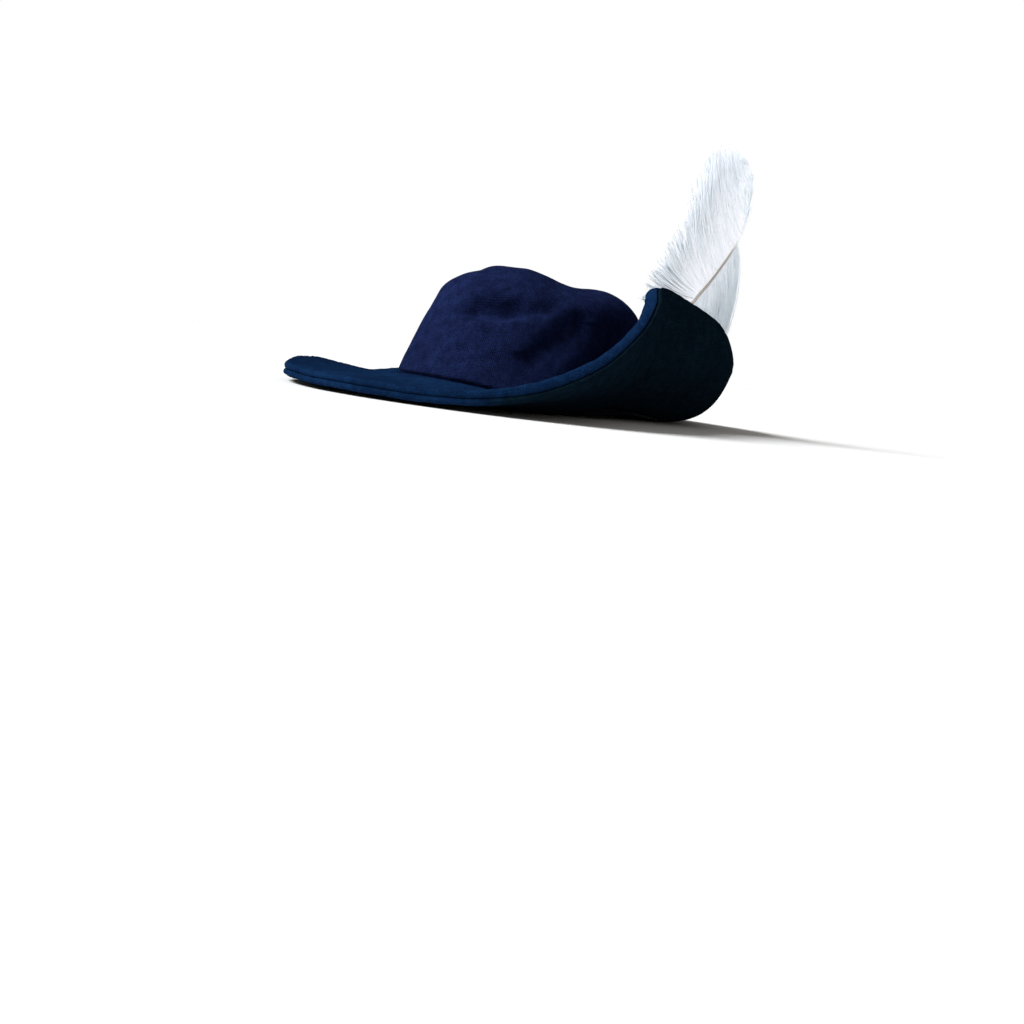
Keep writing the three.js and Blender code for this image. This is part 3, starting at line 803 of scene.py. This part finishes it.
barb_white = bpy.data.materials.new("ostrich_barb")
barb_white.use_nodes = True
tree = barb_white.node_tree
tree.nodes.clear()
# Painted shade: the attribute mixes the barb's white towards grey
shade = add_node(tree, "ShaderNodeAttribute", attribute_name="shade").outputs["Fac"]
plume_white = add_node(tree, "ShaderNodeValToRGB", {"Fac": shade})
plume_white.color_ramp.elements[0].color = linear(BARB_PALE)
plume_white.color_ramp.elements[1].color = linear(BARB_SHADED_GREY)
barb_front = add_node(
    tree,
    "ShaderNodeBsdfPrincipled",
    {"Base Color": plume_white.outputs["Color"], "Roughness": 0.75, "IOR": 1.5, "Specular IOR Level": 0.2},
)
barb_through = add_node(tree, "ShaderNodeBsdfTranslucent", {"Color": plume_white.outputs["Color"]})
barb_surface = add_node(
    tree,
    "ShaderNodeMixShader",
    {0: LIGHT_PASSES, 1: barb_front.outputs["BSDF"], 2: barb_through.outputs["BSDF"]},
)
add_node(tree, "ShaderNodeOutputMaterial", {"Surface": barb_surface.outputs["Shader"]})

# Each guide becomes a flat tapering barb, and barbules stand along it on both sides in the plume's plane
tree = bpy.data.node_groups.new("ostrich_barbs", "GeometryNodeTree")
tree.interface.new_socket("Geometry", in_out="INPUT", socket_type="NodeSocketGeometry")
tree.interface.new_socket("Geometry", in_out="OUTPUT", socket_type="NodeSocketGeometry")
plume_sizes = {
    "Barb width": ("NodeSocketFloat", BARB_WIDTH * MM),
    "Barb thickness": ("NodeSocketFloat", BARB_THICKNESS * MM),
    "Barbule length": ("NodeSocketFloat", BARBULE_LENGTH * MM),
    "Barbule width": ("NodeSocketFloat", BARBULE_WIDTH * MM),
    "Barbules per barb": ("NodeSocketInt", BARBULES_PER_BARB),
    "Seed": ("NodeSocketInt", PLUME_SEED),
}
size_sockets = {}
for name, (kind, value) in plume_sizes.items():
    size_sockets[name] = tree.interface.new_socket(name, in_out="INPUT", socket_type=kind).identifier
sizes = add_node(tree, "NodeGroupInput").outputs
facing = add_node(
    tree, "GeometryNodeInputNamedAttribute", {"Name": "vane_normal"}, data_type="FLOAT_VECTOR"
).outputs["Attribute"]
lines = add_node(tree, "GeometryNodeMeshToCurve", {"Mesh": sizes["Geometry"]}).outputs["Curve"]
lines = add_node(
    tree, "GeometryNodeSetCurveNormal", {"Curve": lines, "Normal": facing}, mode="FREE"
).outputs["Curve"]
along_barb = add_node(tree, "GeometryNodeSplineParameter").outputs["Factor"]
taper = add_node(
    tree,
    "ShaderNodeMapRange",
    {"Value": along_barb, "From Min": BARB_TAPERS_FROM, "From Max": 1.0, "To Min": 1.0, "To Max": BARB_TIP},
)
lines = add_node(
    tree, "GeometryNodeSetCurveRadius", {"Curve": lines, "Radius": taper.outputs["Result"]}
).outputs["Curve"]
blade = add_node(
    tree, "GeometryNodeCurvePrimitiveCircle", {"Resolution": 4, "Radius": 0.5}, mode="RADIUS"
)
blade_size = add_node(
    tree, "ShaderNodeCombineXYZ", {"X": sizes["Barb thickness"], "Y": sizes["Barb width"], "Z": 1.0}
)
blade = add_node(
    tree,
    "GeometryNodeTransform",
    {"Geometry": blade.outputs["Curve"], "Scale": blade_size.outputs["Vector"]},
)
barbs = add_node(
    tree,
    "GeometryNodeCurveToMesh",
    {"Curve": lines, "Profile Curve": blade.outputs["Geometry"], "Fill Caps": True},
)
stations = add_node(
    tree, "GeometryNodeCurveToPoints", {"Curve": lines, "Count": sizes["Barbules per barb"]}, mode="COUNT"
)
upright = add_node(tree, "FunctionNodeAlignRotationToVector", {"Vector": facing}, axis="Z")
aimed = add_node(
    tree,
    "FunctionNodeAlignRotationToVector",
    {"Rotation": upright.outputs["Rotation"], "Vector": stations.outputs["Tangent"]},
    axis="X",
    pivot_axis="Z",
)
# A random value's sockets are numbered by its kind: a number's range is at 2 and 3 and its result at 1,
# and a yes or no comes out at 3
side_coin = add_node(
    tree,
    "FunctionNodeRandomValue",
    {"Probability": 0.5, "Seed": sizes["Seed"]},
    data_type="BOOLEAN",
)
side_angle = add_node(
    tree,
    "GeometryNodeSwitch",
    {"Switch": side_coin.outputs[3], "False": -BARBULE_ANGLE, "True": BARBULE_ANGLE},
    input_type="FLOAT",
)
sway = add_node(
    tree,
    "FunctionNodeRandomValue",
    {"Min": -BARBULE_SWAY, "Max": BARBULE_SWAY, "Seed": sizes["Seed"]},
    data_type="FLOAT_VECTOR",
)
side_turn = add_node(tree, "ShaderNodeCombineXYZ", {"Z": side_angle.outputs["Output"]})
barbule_turn = add_node(
    tree,
    "ShaderNodeVectorMath",
    {0: side_turn.outputs["Vector"], 1: sway.outputs["Value"]},
    operation="ADD",
)
barbule_rotation = add_node(
    tree,
    "FunctionNodeRotateRotation",
    {"Rotation": aimed.outputs["Rotation"], "Rotate By": barbule_turn.outputs["Vector"]},
    rotation_space="LOCAL",
)
barbule = add_node(
    tree, "GeometryNodeMeshGrid", {"Size X": 1.0, "Size Y": 1.0, "Vertices X": 2, "Vertices Y": 2}
)
barbule_place = add_node(tree, "GeometryNodeInputPosition").outputs["Position"]
barbule_axes = add_node(tree, "ShaderNodeSeparateXYZ", {"Vector": barbule_place}).outputs
barbule_out = add_node(
    tree, "ShaderNodeMath", {0: barbule_axes["X"], 1: 0.5}, operation="ADD"
).outputs["Value"]
barbule_thin = add_node(
    tree,
    "ShaderNodeMapRange",
    {"Value": barbule_out, "From Min": 0.0, "From Max": 1.0, "To Min": 1.0, "To Max": BARBULE_TIP},
)
barbule_x = add_node(
    tree, "ShaderNodeMath", {0: barbule_out, 1: sizes["Barbule length"]}, operation="MULTIPLY"
)
barbule_wide = add_node(
    tree, "ShaderNodeMath", {0: barbule_axes["Y"], 1: sizes["Barbule width"]}, operation="MULTIPLY"
)
barbule_y = add_node(
    tree,
    "ShaderNodeMath",
    {0: barbule_wide.outputs["Value"], 1: barbule_thin.outputs["Result"]},
    operation="MULTIPLY",
)
barbule_shape = add_node(
    tree, "ShaderNodeCombineXYZ", {"X": barbule_x.outputs["Value"], "Y": barbule_y.outputs["Value"]}
)
barbule = add_node(
    tree,
    "GeometryNodeSetPosition",
    {"Geometry": barbule.outputs["Mesh"], "Position": barbule_shape.outputs["Vector"]},
)
smallest, largest = BARBULE_SCALES
barbule_scale = add_node(
    tree, "FunctionNodeRandomValue", {2: smallest, 3: largest, "Seed": sizes["Seed"]}, data_type="FLOAT"
)
barbules = add_node(
    tree,
    "GeometryNodeInstanceOnPoints",
    {
        "Points": stations.outputs["Points"],
        "Instance": barbule.outputs["Geometry"],
        "Rotation": barbule_rotation.outputs["Rotation"],
        "Scale": barbule_scale.outputs[1],
    },
)
plume_parts = add_node(tree, "GeometryNodeJoinGeometry")
tree.links.new(barbs.outputs["Mesh"], plume_parts.inputs["Geometry"])
tree.links.new(barbules.outputs["Instances"], plume_parts.inputs["Geometry"])
plume_whole = add_node(
    tree, "GeometryNodeRealizeInstances", {"Geometry": plume_parts.outputs["Geometry"]}
)
plume_done = add_node(
    tree,
    "GeometryNodeSetMaterial",
    {"Geometry": plume_whole.outputs["Geometry"], "Material": barb_white},
)
add_node(tree, "NodeGroupOutput", {"Geometry": plume_done.outputs["Geometry"]})

growing = plume_guides.modifiers.new("barbs", "NODES")
growing.node_group = tree
for name, (kind, value) in plume_sizes.items():
    growing[size_sockets[name]] = value
grown = plume_guides.evaluated_get(bpy.context.evaluated_depsgraph_get())
plume_mesh = bpy.data.meshes.new_from_object(grown)
bpy.data.objects.remove(plume_guides)
plume = bpy.data.objects.new("feather_barbs", plume_mesh)
bpy.context.scene.collection.objects.link(plume)
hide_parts("feather_plume")
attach(plume, "root")

# Studio
# A pale matt floor under a white dome that only the camera sees, a broad key lamp high in front of the hat,
# two soft boxes that light the plume alone, and little other light, so that the sides turned from the key
# fall dark. Sizes and distances here are in metres.
STAGE_RADIUS = 9
DOME_RINGS = 24
DOME_SECTORS = 96
FLOOR_PALE = "#EDEFF0"
DOME_WHITE = "#FFFFFF"
ROOM_WARM = "#FFF8F0"
ROOM_STRENGTH = 0.27
KEY_STRENGTH = 4.3
KEY_BREADTH = math.radians(30)
KEY_AZIMUTH = -30
KEY_ELEVATION = 45
KEY_DISTANCE = 3
PLUME_LAMP_SIZE = 1.2
PLUME_LAMP_DISTANCE = 1.5
PLUME_LAMP_AIM = 0.75  # share of the shaft's length
PLUME_LAMPS = [
    {"name": "plume_soft_box", "azimuth": 58, "elevation": 30, "watts": 31},
    {"name": "plume_fill", "azimuth": 30, "elevation": 8, "watts": 17},
]
floor_mesh = bpy.data.meshes.new("studio_floor")
floor_shape = bmesh.new()
bmesh.ops.create_circle(floor_shape, cap_ends=True, segments=DOME_SECTORS, radius=STAGE_RADIUS)
floor_shape.to_mesh(floor_mesh)
floor_shape.free()
floor = bpy.data.objects.new("studio_floor", floor_mesh)
bpy.context.scene.collection.objects.link(floor)
pale_floor = bpy.data.materials.new("pale_matt_floor")
pale_floor.use_nodes = True
floor_surface = pale_floor.node_tree.nodes["Principled BSDF"]
floor_surface.inputs["Base Color"].default_value = linear(FLOOR_PALE)
floor_surface.inputs["Roughness"].default_value = 0.95
floor_surface.inputs["Specular IOR Level"].default_value = 0.0
floor_mesh.materials.append(pale_floor)

dome_mesh = bpy.data.meshes.new("studio_dome")
dome_shape = bmesh.new()
bmesh.ops.create_uvsphere(
    dome_shape, u_segments=DOME_SECTORS, v_segments=DOME_RINGS, radius=STAGE_RADIUS
)
below_floor = [corner for corner in dome_shape.verts if corner.co.z < -MM]
bmesh.ops.delete(dome_shape, geom=below_floor, context="VERTS")
dome_shape.to_mesh(dome_mesh)
dome_shape.free()
dome = bpy.data.objects.new("studio_dome", dome_mesh)
bpy.context.scene.collection.objects.link(dome)
dome.visible_diffuse = False
dome.visible_glossy = False
dome.visible_transmission = False
dome.visible_shadow = False
white_dome = bpy.data.materials.new("white_dome")
white_dome.use_nodes = True
tree = white_dome.node_tree
tree.nodes.clear()
dome_glow = add_node(tree, "ShaderNodeEmission", {"Color": linear(DOME_WHITE), "Strength": 1.0})
add_node(tree, "ShaderNodeOutputMaterial", {"Surface": dome_glow.outputs["Emission"]})
dome_mesh.materials.append(white_dome)

room = bpy.data.worlds.new("studio_room")
room.use_nodes = True
room_light = room.node_tree.nodes["Background"]
room_light.inputs["Color"].default_value = linear(ROOM_WARM)
room_light.inputs["Strength"].default_value = ROOM_STRENGTH
bpy.context.scene.world = room


def lamp_place(azimuth, elevation, distance):
    """Offset of a lamp from what it lights, by its bearing and its height above it in degrees."""
    flat = distance * math.cos(math.radians(elevation))
    return bearing(azimuth) * flat + Vector((0, 0, distance * math.sin(math.radians(elevation))))


def aim_lamp(name, lamp, target, offset):
    light = bpy.data.objects.new(name, lamp)
    light.location = target + offset
    light.rotation_euler = (-offset).to_track_quat("-Z", "Y").to_euler()
    bpy.context.scene.collection.objects.link(light)
    return light


key_lamp = bpy.data.lights.new("key_lamp", "SUN")
key_lamp.energy = KEY_STRENGTH
key_lamp.angle = KEY_BREADTH
key_offset = lamp_place(KEY_AZIMUTH, KEY_ELEVATION, KEY_DISTANCE)
aim_lamp("key_lamp", key_lamp, HAT_AXIS * MM, key_offset)

plume_only = bpy.data.collections.new("plume_only")
plume_only.objects.link(plume)
plume_only.objects.link(quill)
for row in PLUME_LAMPS:
    plume_lamp = bpy.data.lights.new(row["name"], "AREA")
    plume_lamp.size = PLUME_LAMP_SIZE
    plume_lamp.energy = row["watts"]
    plume_light = aim_lamp(
        row["name"],
        plume_lamp,
        (HAT_AXIS + quill_point(PLUME_LAMP_AIM)) * MM,
        lamp_place(row["azimuth"], row["elevation"], PLUME_LAMP_DISTANCE),
    )
    plume_light.light_linking.receiver_collection = plume_only
    plume_light.light_linking.blocker_collection = plume_only

# Camera
# It stands 45 degrees round from the front towards the wearer's left, just above the floor, and is rolled
# so that the brim falls to the right.
PHOTO_SIZE = 1024
FOCAL_PIXELS = 1080
HEM_CENTRE_PIXEL = Vector((520, 406))  # where the middle of the hem shows
CAMERA_BEARING = 45
CAMERA_ELEVATION = math.radians(2.5)
CAMERA_DISTANCE = 795
CAMERA_ROLL = math.radians(7)

towards = bearing(CAMERA_BEARING) * math.cos(CAMERA_ELEVATION)
towards.z = math.sin(CAMERA_ELEVATION)
level_right = Vector((0, 0, 1)).cross(towards).normalized()
level_up = towards.cross(level_right)
roll_right = level_right * math.cos(CAMERA_ROLL) + level_up * math.sin(CAMERA_ROLL)
roll_up = level_up * math.cos(CAMERA_ROLL) - level_right * math.sin(CAMERA_ROLL)
lift = math.atan((PHOTO_SIZE / 2 - HEM_CENTRE_PIXEL.y) / FOCAL_PIXELS)
swing = math.atan((HEM_CENTRE_PIXEL.x - PHOTO_SIZE / 2) / FOCAL_PIXELS)
camera_turn = Matrix((roll_right, roll_up, towards)).transposed()
camera_turn = camera_turn @ Matrix.Rotation(-lift, 3, "X") @ Matrix.Rotation(swing, 3, "Y")
camera_lens = bpy.data.cameras.new("photo_camera")
camera_lens.lens = camera_lens.sensor_width * FOCAL_PIXELS / PHOTO_SIZE
camera_lens.clip_start = 0.01
camera = bpy.data.objects.new("photo_camera", camera_lens)
camera_place = Matrix.Translation((HAT_AXIS + towards * CAMERA_DISTANCE) * MM)
camera.matrix_world = camera_place @ camera_turn.to_4x4()
bpy.context.scene.collection.objects.link(camera)
bpy.context.scene.camera = camera
bpy.context.scene.view_settings.view_transform = "Standard"
